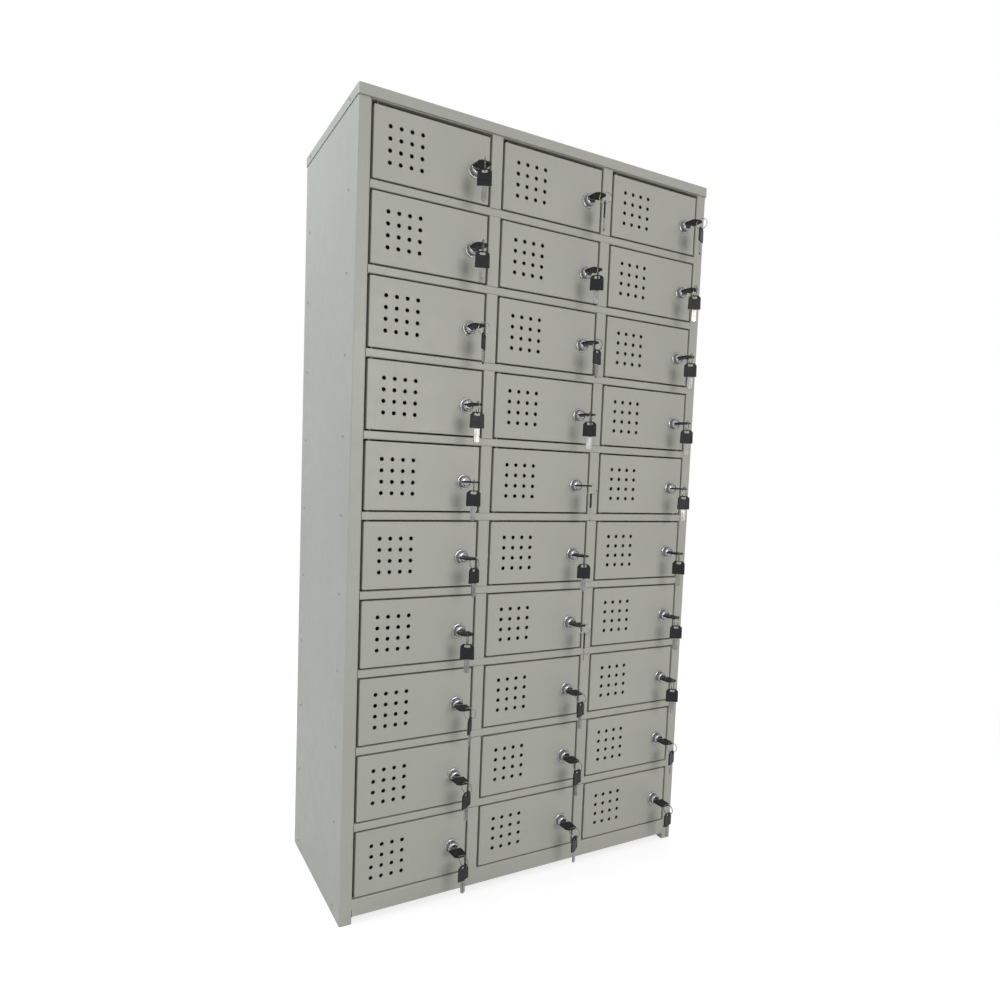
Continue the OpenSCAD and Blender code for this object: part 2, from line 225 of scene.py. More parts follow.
class Shape:
    """Faces of one piece, each with the number of its material."""

    def __init__(self):
        self.mesh = bmesh.new()

    def add(self, points, faces, paint=0, place=None):
        corners = [self.mesh.verts.new(place @ Vector(p) if place else p) for p in points]
        for face in faces:
            made = self.mesh.faces.new([corners[i] for i in face])
            made.material_index = paint
            made.smooth = True

    def loft(self, rings, paint=0, place=None, round_trip=False):
        """Skin over closed rings of points, and back to the first ring on a round trip."""
        count = len(rings[0])
        points = [p for ring in rings for p in ring]
        faces = []
        for k in range(len(rings) if round_trip else len(rings) - 1):
            a, b = k * count, (k + 1) % len(rings) * count
            for i in range(count):
                j = (i + 1) % count
                faces.append((a + i, a + j, b + j, b + i))
        self.add(points, faces, paint, place)

    def flat(self, outline, holes, lift, paint=0, place=None):
        """Flat face in the XY plane at a height, with holes."""
        loops = [distinct(loop) for loop in (outline, *holes)]
        points, edges = [], []
        for loop in loops:
            start = len(points)
            points += [Vector(p) for p in loop]
            edges += [(start + i, start + (i + 1) % len(loop)) for i in range(len(loop))]
        corners, _, faces, *_ = delaunay_2d_cdt(points, edges, [], 1, 1e-6)
        kept = []
        for face in faces:
            middle = sum((corners[i] for i in face), Vector((0, 0))) / len(face)
            if not any(is_inside(middle, loop) for loop in loops[1:]):
                kept.append(face)
        self.add([(p.x, p.y, lift) for p in corners], kept, paint, place)

    def lathe(self, profile, steps, paint=0, place=None, hollow=False):
        """Turned form about Z from (radius, height) pairs. A hollow one comes back to its first pair."""
        rings = [raised(circle(0, 0, r, steps), z) for r, z in profile]
        self.loft(rings, paint, place, hollow)

    def object(self, name, materials):
        """Mesh data in metres with clean normals."""
        bmesh.ops.remove_doubles(self.mesh, verts=self.mesh.verts, dist=MERGE)
        bmesh.ops.dissolve_degenerate(self.mesh, edges=self.mesh.edges, dist=MERGE / 2)
        bmesh.ops.recalc_face_normals(self.mesh, faces=self.mesh.faces)
        data = bpy.data.meshes.new(name)
        self.mesh.to_mesh(data)
        self.mesh.free()
        data.transform(Matrix.Scale(MM, 4))
        data.set_sharp_from_angle(angle=SHARP)
        for material in materials:
            data.materials.append(material)
        return data


def distinct(loop):
    """The loop without points that repeat their neighbour."""
    return [p for i, p in enumerate(loop) if hypot(p[0] - loop[i - 1][0], p[1] - loop[i - 1][1]) > MERGE]


def is_inside(point, loop):
    odd = False
    for (x0, y0), (x1, y1) in zip(loop, loop[1:] + loop[:1]):
        if (y0 > point.y) != (y1 > point.y) and point.x < x0 + (point.y - y0) * (x1 - x0) / (y1 - y0):
            odd = not odd
    return odd


def full_turn(steps):
    return [2 * pi * k / steps for k in range(steps)]


def arc(radius, turns, x=0, y=0):
    return [(x + radius * cos(t), y + radius * sin(t)) for t in turns]


def circle(x, y, radius, steps):
    return arc(radius, full_turn(steps), x, y)


def raised(loop, z):
    """The flat loop's points at a height."""
    return [(x, y, z) for x, y in loop]


def shifted(loop, x, y):
    return [(u + x, v + y) for u, v in loop]


def rounded_box(width, height, corner, inset=0, steps=4):
    """Rectangle from the origin with rounded corners, moved inwards all round."""
    radius = max(corner - inset, 0)
    near = inset + radius
    far_x, far_y = width - near, height - near
    loop = []
    for x, y, start in ((far_x, near, -90), (far_x, far_y, 0), (near, far_y, 90), (near, near, 180)):
        for k in range(steps + 1):
            turn = radians(start + 90 * k / steps)
            loop.append((x + radius * cos(turn), y + radius * sin(turn)))
    return loop


def centred_box(width, height, corner):
    return shifted(rounded_box(width, height, corner), -width / 2, -height / 2)


def rounded_corners(loop, radii, steps=4):
    """Convex outline with each corner rounded by its own radius."""
    made = []
    for i, corner in enumerate(loop):
        at, last, following = Vector(corner), Vector(loop[i - 1]), Vector(loop[(i + 1) % len(loop)])
        back, ahead = (last - at).normalized(), (following - at).normalized()
        half_angle = back.angle(ahead) / 2
        middle = at + (back + ahead).normalized() * radii[i] / sin(half_angle)
        first = at + back * radii[i] / tan(half_angle) - middle
        final = at + ahead * radii[i] / tan(half_angle) - middle
        for k in range(steps + 1):
            spoke = first.slerp(final, k / steps) if radii[i] else first
            made.append(tuple(middle + spoke))
    return made


def moved_in(loop, inset):
    """Closed outline, counterclockwise, moved inwards a little."""
    made = []
    for i, corner in enumerate(loop):
        at, last, following = Vector(corner), Vector(loop[i - 1]), Vector(loop[(i + 1) % len(loop)])
        before, after = (at - last).normalized(), (following - at).normalized()
        side_a, side_b = Vector((-before.y, before.x)), Vector((-after.y, after.x))
        made.append(tuple(at + (side_a + side_b) * inset / (1 + side_a.dot(side_b))))
    return made


def rounding(size, steps=3):
    """(inset, depth) pairs along a rounded edge, from the flat face to the side."""
    turns = [radians(90 * k / steps) for k in range(steps + 1)]
    return [(size * (1 - sin(t)), size * (1 - cos(t))) for t in turns]


def plate(shape, outline, low, high, edge, paint=0, place=None, holes=(), pockets=()):
    """Flat piece in the XY plane with rounded edges. Each pocket is a loop and its depth in both faces."""
    outline = distinct(outline)
    holes = [distinct(h) for h in holes]
    near = rounding(edge)

    def walls(loop, way):
        steps = [(inset, low + depth) for inset, depth in near]
        steps += [(inset, high - depth) for inset, depth in reversed(near)]
        shape.loft([raised(moved_in(loop, way * inset), z) for inset, z in steps], paint, place)

    walls(outline, 1)
    for hole in holes:
        walls(hole, -1)
    open_loops = [moved_in(hole, -edge) for hole in holes]
    for lift, down in ((low, 1), (high, -1)):
        cut = [loop for loop, _ in pockets]
        shape.flat(moved_in(outline, edge), open_loops + cut, lift, paint, place)
        for loop, depth in pockets:
            bottom, bottom_z = moved_in(loop, depth / 3), lift + down * depth
            shape.loft([raised(loop, lift), raised(bottom, bottom_z)], paint, place)
            shape.flat(bottom, [], bottom_z, paint, place)


def pan(shape, width, height, depth, bend, corner, place, holes=(), steps=5):
    """Sheet bent down on four sides from its face at depth 0.

    Each hole is the place of its middle, its radius and its number of steps.
    """
    inner = bend - SHEET
    turns = [radians(90 * k / steps) for k in range(steps + 1)]
    edge = SHEET / 5
    profile = [(bend * (1 - sin(t)), bend * (1 - cos(t))) for t in turns]
    profile += [(0, depth - edge), (edge, depth), (SHEET - edge, depth), (SHEET, depth - edge)]
    profile += [(bend - inner * sin(t), bend - inner * cos(t)) for t in reversed(turns)]
    rings = [raised(rounded_box(width, height, corner, inset), z) for inset, z in profile]
    shape.loft(rings, 0, place)
    outline = rounded_box(width, height, corner, bend)
    for lift, wider in ((0, VENT_ROUND), (SHEET, 0)):
        loops = [circle(x, y, radius + wider, count) for x, y, radius, count in holes]
        shape.flat(outline, loops, lift, 0, place)
    for x, y, radius, count in holes:
        wall = [(radius + inset, z) for inset, z in rounding(VENT_ROUND)] + [(radius, SHEET)]
        shape.loft([raised(circle(x, y, r, count), z) for r, z in wall], 0, place)


def bent_sheet(shape, path, bend, low, high, plane):
    """Sheet bent along its middle line in one plane, and running from low to high across that plane."""
    spots = [Vector(p) for p in path]
    steps = 6
    line = []
    for i, at in enumerate(spots):
        if i in (0, len(spots) - 1):
            along = (spots[1] - spots[0] if i == 0 else at - spots[i - 1]).normalized()
            line.append((at, Vector((-along.y, along.x))))
            continue
        before, after = (at - spots[i - 1]).normalized(), (spots[i + 1] - at).normalized()
        turn = before.angle_signed(after)
        reach = bend * tan(abs(turn) / 2)
        side = -1 if turn > 0 else 1
        first = Vector((-before.y, before.x))
        centre = at - before * reach + first * bend * side
        for k in range(steps + 1):
            spoke = first.copy()
            spoke.rotate(Matrix.Rotation(-turn * k / steps, 2))
            line.append((centre - spoke * bend * side, spoke))
    count = len(line)
    points = []
    for offset in (HALF_SHEET, -HALF_SHEET):
        for across in (low, high):
            points += [PLANES[plane](*(p + n * offset), across) for p, n in line]
    faces = []
    for i in range(count - 1):
        a, b, c, d = (i + k * count for k in range(4))
        faces += [(a, a + 1, b + 1, b), (c, d, d + 1, c + 1), (a, c, c + 1, a + 1), (b, b + 1, d + 1, d)]
    for i in (0, count - 1):
        faces.append((i, i + count, i + 3 * count, i + 2 * count))
    shape.add(points, faces)


# Materials

def linear(red, green, blue):
    """Scene colour from the 8-bit values, all above 10, that a picture shows."""
    return [((v / 255 + 0.055) / 1.055) ** 2.4 for v in (red, green, blue)] + [1]


# Numbers of a mix node's colour sockets
MIX_FIRST, MIX_SECOND, MIX_RESULT = 6, 7, 2


class Paint:
    """A material whose nodes are added one by one."""

    def __init__(self, name):
        self.material = bpy.data.materials.new(name)
        self.material.use_nodes = True
        self.tree = self.material.node_tree
        self.shader = self.tree.nodes["Principled BSDF"]
        self.place = self.node("ShaderNodeTexCoord").outputs["Object"]
        self.seed = self.math("MULTIPLY", self.node("ShaderNodeObjectInfo").outputs["Random"], 40)

    def node(self, kind, **inputs):
        made = self.tree.nodes.new(kind)
        for name, value in inputs.items():
            self.put(made.inputs[name.replace("_", " ")], value)
        return made

    def put(self, socket, value):
        if isinstance(value, bpy.types.NodeSocket):
            self.tree.links.new(value, socket)
        else:
            socket.default_value = value

    def math(self, operation, a, b):
        made = self.tree.nodes.new("ShaderNodeMath")
        made.operation = operation
        self.put(made.inputs[0], a)
        self.put(made.inputs[1], b)
        return made.outputs[0]

    def noise(self, scale, detail, stretch=None):
        """Noise of about 1/scale metres that differs between pieces. A stretch draws it out along axes."""
        place = self.place
        if stretch:
            mapping = self.node("ShaderNodeMapping", Vector=place)
            mapping.inputs["Scale"].default_value = stretch
            place = mapping.outputs[0]
        made = self.node("ShaderNodeTexNoise", Vector=place, Scale=scale, Detail=detail)
        made.noise_dimensions = "4D"
        self.put(made.inputs["W"], self.seed)
        return made.outputs["Fac"]

    def spread(self, value, low, high):
        """A noise whose usual range is mapped to low and high."""
        least, most = 0.3, 0.7
        made = self.node(
            "ShaderNodeMapRange", Value=value, From_Min=least, From_Max=most, To_Min=low, To_Max=high
        )
        return made.outputs[0]

    def mix(self, share, first, second):
        made = self.tree.nodes.new("ShaderNodeMix")
        made.data_type = "RGBA"
        self.put(made.inputs["Factor"], share)
        self.put(made.inputs[MIX_FIRST], first)
        self.put(made.inputs[MIX_SECOND], second)
        return made.outputs[MIX_RESULT]

    def bump(self, height, distance, strength, normal=None):
        made = self.node("ShaderNodeBump", Height=height, Distance=distance, Strength=strength)
        if normal:
            self.put(made.inputs["Normal"], normal)
        return made.outputs[0]

    def set(self, **inputs):
        for name, value in inputs.items():
            self.put(self.shader.inputs[name.replace("_", " ")], value)
        return self.material


def powder_coat():
    """Satin powder coat: faint clouds and specks, orange peel and a fine grain."""
    paint = Paint("powder_coat")
    clouds = paint.noise(5, 5)
    specks = paint.noise(900, 2)
    base = paint.mix(paint.spread(clouds, 0, 1), linear(173, 173, 163), linear(180, 180, 171))
    speckled = paint.mix(paint.spread(specks, 0, 0.35), base, linear(156, 156, 148))
    peel = paint.bump(paint.noise(420, 1), 0.00012, 0.5)
    grain = paint.bump(paint.noise(1800, 2), 0.00004, 0.5, peel)
    return paint.set(
        Base_Color=speckled,
        Roughness=paint.spread(paint.noise(60, 3), 0.4, 0.52),
        Normal=grain,
    )


# Painted shade: the base colour sits well below real chrome plate, standing in for the dark surroundings
# that the chrome would mirror; the haze varies tone and roughness at random.
def chrome():
    paint = Paint("chrome_plate")
    haze = paint.noise(260, 4)
    scuffs = paint.noise(900, 3, (1, 1, 8))
    return paint.set(
        Base_Color=paint.mix(paint.spread(haze, 0, 1), linear(146, 147, 149), linear(168, 169, 170)),
        Metallic=1,
        Roughness=paint.spread(haze, 0.1, 0.24),
        Normal=paint.bump(scuffs, 0.00002, 0.3),
    )


def steel(name, dark, light, rough):
    """Plain drawn steel with fine lines along it."""
    paint = Paint(name)
    lines = paint.noise(700, 3, (1, 1, 0.08))
    stains = paint.noise(120, 4)
    return paint.set(
        Base_Color=paint.mix(paint.spread(stains, 0, 1), dark, light),
        Metallic=1,
        Roughness=paint.spread(lines, rough - 0.07, rough + 0.09),
        Normal=paint.bump(lines, 0.00003, 0.35),
    )


def moulded_plastic():
    paint = Paint("black_plastic")
    grain = paint.noise(2600, 2)
    rubbed = paint.noise(160, 4)
    return paint.set(
        Base_Color=paint.mix(paint.spread(rubbed, 0, 1), linear(20, 21, 22), linear(29, 31, 33)),
        Roughness=paint.spread(rubbed, 0.36, 0.54),
        Specular_IOR_Level=0.22,
        Normal=paint.bump(grain, 0.00005, 0.5),
    )


# Painted shade: near-black colour for the rivets' broken stems, standing in for the shade down in each
# rivet's hole, with a faint random mottle.
def painted_shade_hole():
    paint = Paint("rivet_hole_painted_shade")
    shade_mottle = paint.noise(900, 3)
    return paint.set(
        Base_Color=paint.mix(paint.spread(shade_mottle, 0, 1), linear(34, 33, 32), linear(56, 54, 51)),
        Metallic=0.4,
        Roughness=paint.spread(paint.noise(600, 2), 0.5, 0.7),
    )


COAT = powder_coat()
CHROME = chrome()
BRIGHT = steel("bright_steel", linear(150, 152, 154), linear(176, 177, 178), 0.34)
# Painted shade: the hinge pins take a darker copy of the bright steel, standing in for the dim gaps they sit
# in.
SHADED_PIN_STEEL = steel("pin_steel_painted_shade", linear(84, 85, 86), linear(108, 109, 110), 0.42)
NICKEL = steel("nickel_key", linear(118, 118, 115), linear(148, 147, 144), 0.24)
PLASTIC = moulded_plastic()
SHADED_CORE = painted_shade_hole()


# Pieces

def placed(name, data):
    """New object in the scene."""
    made = bpy.data.objects.new(name, data)
    bpy.context.scene.collection.objects.link(made)
    return made


def piece(name, data, body, nodes, at=(0, 0, 0)):
    """Shows mesh data as a piece that rides on a body and stands for CAD nodes."""
    made = placed(name, data)
    made.location = Vector((at[0], FACE_Y + at[1], at[2])) * MM
    made.modifiers.new("even_normals", "WEIGHTED_NORMAL").keep_sharp = True
    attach(made, body)
    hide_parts(*nodes)


def side_panel(sign):
    """Side plate with its post, rear flange and foot. The right one also carries the door stops."""
    shape = Shape()
    outer, inner = sign * (HALF_W - HALF_SHEET), sign * (RAIL_X + HALF_SHEET)
    flange_x = sign * (HALF_W - SIDE_FLANGE)
    back_y = TRAY_BACK + HALF_SHEET
    post = [(inner, RETURN_D)]
    if sign > 0:
        post = [(RAIL_X + STOP_SEAT_W, SEAT_Y - HALF_SHEET), (inner, SEAT_Y - HALF_SHEET)]
    path = post + [(inner, HALF_SHEET), (outer, HALF_SHEET), (outer, back_y), (flange_x, back_y)]
    bent_sheet(shape, path, POST_BEND, 0, COVER_UNDER, "xy")
    foot = [(outer - sign * HALF_SHEET, HALF_SHEET), (flange_x, HALF_SHEET)]
    bent_sheet(shape, foot, INNER_BEND, SHEET, TRAY_BACK, "xz")
    if sign > 0:
        stop_y = (SEAT_Y + FILM + RETURN_D) / 2
        for row in range(ROWS):
            stop = [(RAIL_X - STOP_W, stop_y), (RAIL_X + STOP_SEAT_W, stop_y)]
            bent_sheet(shape, stop, INNER_BEND, rail_top(row), opening_top(row), "xy")
    return shape


def top_cover():
    """Lid with a rim on four sides and a hem under the front rim."""
    shape = Shape()
    rim_x = HALF_W + LIP_GAP + SHEET
    back = BODY_D + LIP_GAP + SHEET
    place = Matrix(((1, 0, 0, -rim_x), (0, 1, 0, -LIP_FRONT), (0, 0, -1, BODY_H), (0, 0, 0, 1)))
    pan(shape, 2 * rim_x, back + LIP_FRONT, LIP_H, COVER_BEND, COVER_CORNER, place)
    hem = [(SHEET - LIP_FRONT, HEADER_TOP + HALF_SHEET), (-LIP_GAP, HEADER_TOP + HALF_SHEET)]
    bent_sheet(shape, hem, INNER_BEND, SHEET - rim_x, rim_x - SHEET, "yz")
    return shape


def tray(shape, front, z, side_z):
    """Tray between the side panels: a bent front, and wings with bent sides behind the posts."""
    bent_sheet(shape, front, RAIL_BEND, -RAIL_X, RAIL_X, "yz")
    for sign in (-1, 1):
        outer = sign * (HALF_W - SHEET - HALF_SHEET)
        wing = [(sign * RAIL_X, z), (outer, z), (outer, side_z)]
        bent_sheet(shape, wing, INNER_BEND, RETURN_D, TRAY_BACK, "xz")


def top_tray():
    shape = Shape()
    z = HEADER_TOP - HALF_SHEET
    front = [(HALF_SHEET, COVER_UNDER - SHEET), (HALF_SHEET, z), (TRAY_BACK, z)]
    tray(shape, front, z, COVER_UNDER - SHEET)
    return shape


def base_tray():
    shape = Shape()
    low, z = FOOT_H + HALF_SHEET, FLOOR_TOP - HALF_SHEET
    back_y = TRAY_BACK - HALF_SHEET
    front = [(SIDE_FLANGE, low), (HALF_SHEET, low), (HALF_SHEET, z), (back_y, z), (back_y, FOOT_H)]
    tray(shape, front, z, FOOT_H)
    return shape


def shelves():
    shape = Shape()
    for row in range(ROWS - 1):
        low, z = rail_top(row) - RAIL_H + HALF_SHEET, rail_top(row) - HALF_SHEET
        front = [(RAIL_LIP, low), (HALF_SHEET, low), (HALF_SHEET, z), (TRAY_BACK, z)]
        tray(shape, front, z, rail_top(row) - SHELF_FLANGE)
    return shape


def partitions():
    """Each wall is one sheet: the stop, the mullion's channel, and the wall to the back."""
    shape = Shape()
    half = MULLION_W / 2
    for row in range(ROWS):
        low, high = rail_top(row), opening_top(row)
        for column in range(1, COLUMNS):
            x = door_left(column) - SIDE_GAP - half
            left, right = x - half + HALF_SHEET, x + half - HALF_SHEET
            y = RETURN_D - HALF_SHEET
            path = [(x - half - STOP_W, y), (left, y), (left, HALF_SHEET), (right, HALF_SHEET)]
            path += [(right, y), (x, y), (x, TRAY_BACK)]
            bent_sheet(shape, path, INNER_BEND, low, high, "xy")
            if row > 0:
                wall = [(x, RETURN_D), (x, TRAY_BACK)]
                bent_sheet(shape, wall, INNER_BEND, high, ceiling(row), "xy")
    return shape


def back_panel():
    shape = Shape()
    width, height = 2 * (HALF_W - SHEET), COVER_UNDER - FOOT_H
    place = Matrix.Translation((SHEET - HALF_W, BODY_D, FOOT_H)) @ Matrix.Rotation(pi / 2, 4, "X")
    plate(shape, rounded_box(width, height, 0.6), 0, SHEET, 0.2, place=place)
    return shape


def hinge_pins():
    shape = Shape()
    radius, chamfer = PIN_D / 2, 0.4
    grip = SHEET + PIN_OVER
    for row in range(ROWS):
        for column in range(COLUMNS):
            at = Vector((door_left(column) + PIN_IN, PIN_BACK, 0))
            upper_tip = door_base(row) + DOOR_H - grip
            for foot, tip in (
                (rail_top(row), rail_top(row) + DOOR_GAP + grip),
                (opening_top(row), upper_tip),
            ):
                side = (radius, tip - chamfer if tip > foot else tip + chamfer)
                profile = [(0, foot), (radius, foot), side, (radius - chamfer, tip), (0, tip)]
                shape.lathe(profile, 20, place=Matrix.Translation(at))
    return shape


def rivet(shape, place, grip):
    """Blind rivet with a domed head on z = 0 that faces -Z, its broken stem, and its upset tail."""
    head, core = RIVET_HEAD_D / 2, 0.42 * RIVET_D
    shank, tail = RIVET_D / 2, (RIVET_D + RIVET_HEAD_H) / 2
    sunk = 0.1 * RIVET_HEAD_H
    dome = [(head * sin(t), -RIVET_HEAD_H * cos(t)) for t in (radians(a) for a in (22, 40, 58, 74, 90))]
    body = [(core, -sunk), (core, -RIVET_HEAD_H), *dome, (shank, 0), (shank, grip)]
    body += [(tail, grip), (tail, grip + RIVET_TAIL_H * 0.7), (shank, grip + RIVET_TAIL_H)]
    body += [(core, grip + RIVET_TAIL_H), (core, -sunk)]
    shape.lathe(body, 24, 0, place)
    stem = core - RUN_GAP
    bottom = grip + RIVET_TAIL_H
    profile = [(0, -sunk * 0.6), (stem * 0.6, -sunk * 0.8), (stem, -sunk), (stem, bottom), (0, bottom)]
    # The stem takes the second material, the painted shade that makes the rivet's hole read dark.
    shape.lathe(profile, 16, 1, place)


def rivets():
    shape = Shape()
    heights = [rail_top(r) - RIVET_DROP for r in range(ROWS - 1)] + [FOOT_H + BASE_RIVET]
    low, high = FOOT_H + SIDE_FLANGE, HEADER_UNDER - SIDE_FLANGE
    back = [low + k * (high - low) / (BACK_RIVETS - 1) for k in range(BACK_RIVETS)]
    rim_x = HALF_W + LIP_GAP + SHEET
    for sign in (-1, 1):
        inwards = Matrix.Rotation(-sign * pi / 2, 4, "Y")
        for y in (RIVET_FRONT, BODY_D - RIVET_BACK):
            for z in heights:
                rivet(shape, Matrix.Translation((sign * HALF_W, y, z)) @ inwards, 2 * SHEET)
            place = Matrix.Translation((sign * rim_x, y, BODY_H - COVER_RIVET)) @ inwards
            rivet(shape, place, 3 * SHEET + LIP_GAP)
        for z in back:
            x = sign * (HALF_W - SIDE_FLANGE / 2)
            place = Matrix.Translation((x, BODY_D, z)) @ Matrix.Rotation(pi / 2, 4, "X")
            rivet(shape, place, 2 * SHEET)
    return shape


# Doors and locks

LOCK_AXES = Matrix.Rotation(pi / 2, 4, "X")


def lock_barrel(shape, place):
    """Chrome lock body: crowned head, collar against the door, and a threaded barrel behind it."""
    bore, barrel = PLUG_D / 2 + RUN_GAP, BARREL_D / 2
    head, collar = HEAD_D / 2, COLLAR_D / 2
    back, root = KEY_GAP - CAM_Y, barrel - THREAD_DEEP
    crown, crown_h, lead, rise = 2.6, 4.4, 0.5, 0.5
    soft, groove, dome, steps = 0.2, 0.1, head + 0.3, 6
    profile = [(bore, back), (root, back)]
    turns = int((CAM_Y - SHEET - NUT_T / 2) / THREAD_PITCH)
    for k in range(turns):
        z = back + (k + 0.25) * THREAD_PITCH
        profile += [(root, z), (barrel, z + 0.4 * THREAD_PITCH), (barrel, z + 0.55 * THREAD_PITCH)]
    profile += [(barrel, FILM), (collar - soft, FILM), (collar, FILM + soft)]
    for k in range(steps):
        turn = radians(90 * k / steps)
        profile.append((dome + (collar - dome) * cos(turn), rise + (COLLAR_T - rise) * sin(turn)))
    profile += [(head + groove, COLLAR_T - groove), (head, COLLAR_T + soft)]
    for k in range(steps + 1):
        turn = radians(90 * k / steps)
        profile.append((head - crown * (1 - cos(turn)), HEAD_OUT - soft - crown_h * (1 - sin(turn))))
    profile += [(bore + lead, HEAD_OUT), (bore + 0.3 * lead, HEAD_OUT - 0.2 * lead), (bore, HEAD_OUT - lead)]
    shape.lathe(profile, 48, 1, place, hollow=True)


def lock_nut(shape, place):
    """Hexagon nut with its corners chamfered, clamped behind the door."""
    radius = NUT_AF / 2 / cos(pi / 6)
    steps = 48
    bore = BARREL_D / 2 + RUN_GAP
    turns = full_turn(steps)
    flats = [NUT_AF / 2 / max(abs(cos(t - k * pi / 3)) for k in range(6)) for t in turns]
    top = -SHEET - FILM
    low = top - NUT_T
    face_r, slope = NUT_AF / 2 * 0.98, 0.3

    def ring(limit, z):
        return [(min(r, limit) * cos(t), min(r, limit) * sin(t), z) for r, t in zip(flats, turns)]

    wall = [ring(face_r, top), ring(radius, top - slope), ring(radius, low + slope), ring(face_r, low)]
    inner = [raised(circle(0, 0, bore, steps), z) for z in (low, top)]
    shape.loft(wall + inner, 2, place, round_trip=True)


def door_panel(shape):
    """Door tray with its left lower front corner at the origin."""
    lock_x, lock_z = DOOR_W - LOCK_IN, DOOR_H / 2 - LOCK_DROP
    vent_z = (DOOR_H - (VENT_COUNT - 1) * VENT_PITCH) / 2
    holes = [(lock_x, lock_z, BARREL_D / 2 + RUN_GAP, 48)]
    for i in range(VENT_COUNT):
        for k in range(VENT_COUNT):
            holes.append((VENT_LEFT + i * VENT_PITCH, vent_z + k * VENT_PITCH, VENT_D / 2, 28))
    upright = Matrix(((1, 0, 0, 0), (0, 0, 1, 0), (0, 1, 0, 0), (0, 0, 0, 1)))
    pan(shape, DOOR_W, DOOR_H, FLANGE_D, DOOR_BEND, DOOR_BEND, upright, holes)


def door_data():
    shape = Shape()
    door_panel(shape)
    at_lock = Matrix.Translation((DOOR_W - LOCK_IN, 0, DOOR_H / 2 - LOCK_DROP)) @ LOCK_AXES
    lock_barrel(shape, at_lock)
    lock_nut(shape, at_lock)
    return shape.object("door", [COAT, CHROME, BRIGHT])


PLUG_PAINT, CAM_PAINT, BOW_PAINT, BLADE_PAINT = range(4)


def plug(shape):
    """Turning plug with a keyway in its face and a square tail that carries the cam."""
    radius, soft = PLUG_D / 2, 0.35
    front, back = HEAD_OUT - PLUG_IN, FILM - CAM_Y
    steps = 40
    keyway_w, keyway_h = BLADE_W + 2 * KEY_GAP, BLADE_T + 2 * KEY_GAP
    keyway = centred_box(keyway_w, keyway_h, 0.3)
    keyway_end = HEAD_OUT + NECK - BLADE_L - KEY_GAP
    wall = [(radius - soft, front), (radius - 0.1, front - 0.1), (radius, front - soft), (radius, back)]
    rings = [raised(circle(0, 0, r, steps), z) for r, z in wall]
    shape.loft(rings, PLUG_PAINT, LOCK_AXES)
    shape.flat(circle(0, 0, radius - soft, steps), [keyway], front, PLUG_PAINT, LOCK_AXES)
    shape.loft([raised(keyway, z) for z in (front, keyway_end)], PLUG_PAINT, LOCK_AXES)
    shape.flat(keyway, [], keyway_end, PLUG_PAINT, LOCK_AXES)
    tail = centred_box(TAIL_W, TAIL_W, 0.4)
    shape.flat(circle(0, 0, radius, steps), [tail], back, PLUG_PAINT, LOCK_AXES)
    tail_end = back - CAM_T
    shape.loft([raised(tail, z) for z in (back, tail_end)], PLUG_PAINT, LOCK_AXES)
    shape.flat(tail, [], tail_end, PLUG_PAINT, LOCK_AXES)


def cam(shape):
    """Flat cam with round ends and a square hole, upright while the lock is open."""
    radius = CAM_W / 2
    top = CAM_L - radius
    steps = 16
    half_turn = [pi * k / steps for k in range(steps + 1)]
    outline = arc(radius, [pi + t for t in half_turn]) + arc(radius, half_turn, 0, top)
    hole_w = TAIL_W + 2 * KEY_GAP
    hole = centred_box(hole_w, hole_w, 0.4)
    plate(shape, outline, -CAM_Y - CAM_T, -CAM_Y, 0.2, CAM_PAINT, LOCK_AXES, [hole])


def cam_screw(shape):
    """Pan head with a slot, against the cam's back."""
    radius, slot_w = SCREW_HEAD_D / 2, SCREW_HEAD_H / 2
    top = -CAM_Y - CAM_T - FILM
    low = top - SCREW_HEAD_H
    steps = 40
    slot = centred_box(radius * 1.6, slot_w, 0.3)
    deep = SCREW_HEAD_H / 2
    face_r = radius - 1
    wall = [(radius, top), (radius, low + 0.9), (radius - 0.3, low + 0.4), (face_r, low)]
    rings = [raised(circle(0, 0, r, steps), z) for r, z in wall]
    shape.loft(rings, CAM_PAINT, LOCK_AXES)
    shape.flat(circle(0, 0, radius, steps), [], top, CAM_PAINT, LOCK_AXES)
    shape.flat(circle(0, 0, face_r, steps), [slot], low, CAM_PAINT, LOCK_AXES)
    shape.loft([raised(slot, z) for z in (low, low + deep)], CAM_PAINT, LOCK_AXES)
    shape.flat(slot, [], low + deep, CAM_PAINT, LOCK_AXES)


